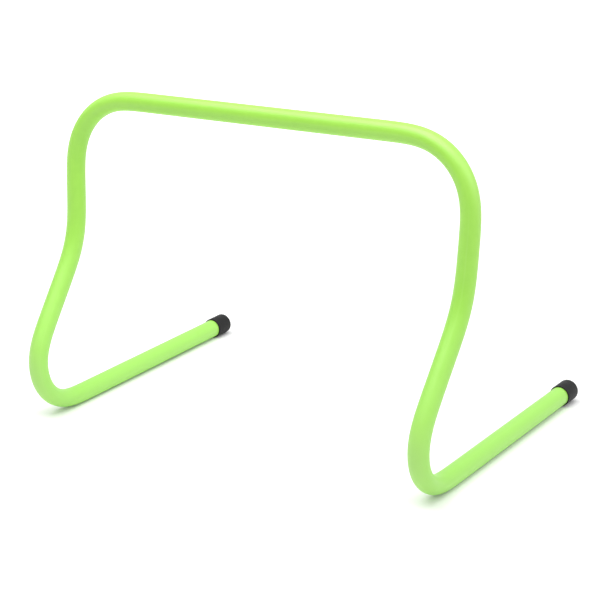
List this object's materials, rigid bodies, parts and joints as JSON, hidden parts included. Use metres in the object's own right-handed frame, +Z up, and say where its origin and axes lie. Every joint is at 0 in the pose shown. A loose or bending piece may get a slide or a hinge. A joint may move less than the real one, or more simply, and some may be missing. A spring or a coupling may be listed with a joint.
{
  "type": "speed hurdle",
  "caption": "Low agility hurdle: a hollow plastic tube bent into a crossbar, cranked legs and rearward feet, with push-on end caps, stood on the floor to be stepped or jumped over.",
  "frame": {"origin": "on the floor, in the middle of the hurdle's width and depth", "axes": "+X along the crossbar from the left leg to the right, +Y from the front bends back along the feet to the caps, +Z up"},
  "size_m": [0.4644, 0.3237, 0.324],
  "materials": {
    "tube": "satin, extruded lime green tube",
    "cap": "moulded, dull black"
  },
  "bodies": {
    "frame": {"hurdle_tube": "tube"},
    "left_cap": {"left_end_cap": "cap"},
    "right_cap": {"right_end_cap": "cap"}
  },
  "joints": [
    {"name": "left_cap_pull", "type": "slide", "parent": "frame", "child": "left_cap", "axis": [-0.0002, 1, 0.0052], "range_m": [0, 0.028]},
    {"name": "right_cap_pull", "type": "slide", "parent": "frame", "child": "right_cap", "axis": [0.0002, 1, 0.0052], "range_m": [0, 0.028]}
  ]
}
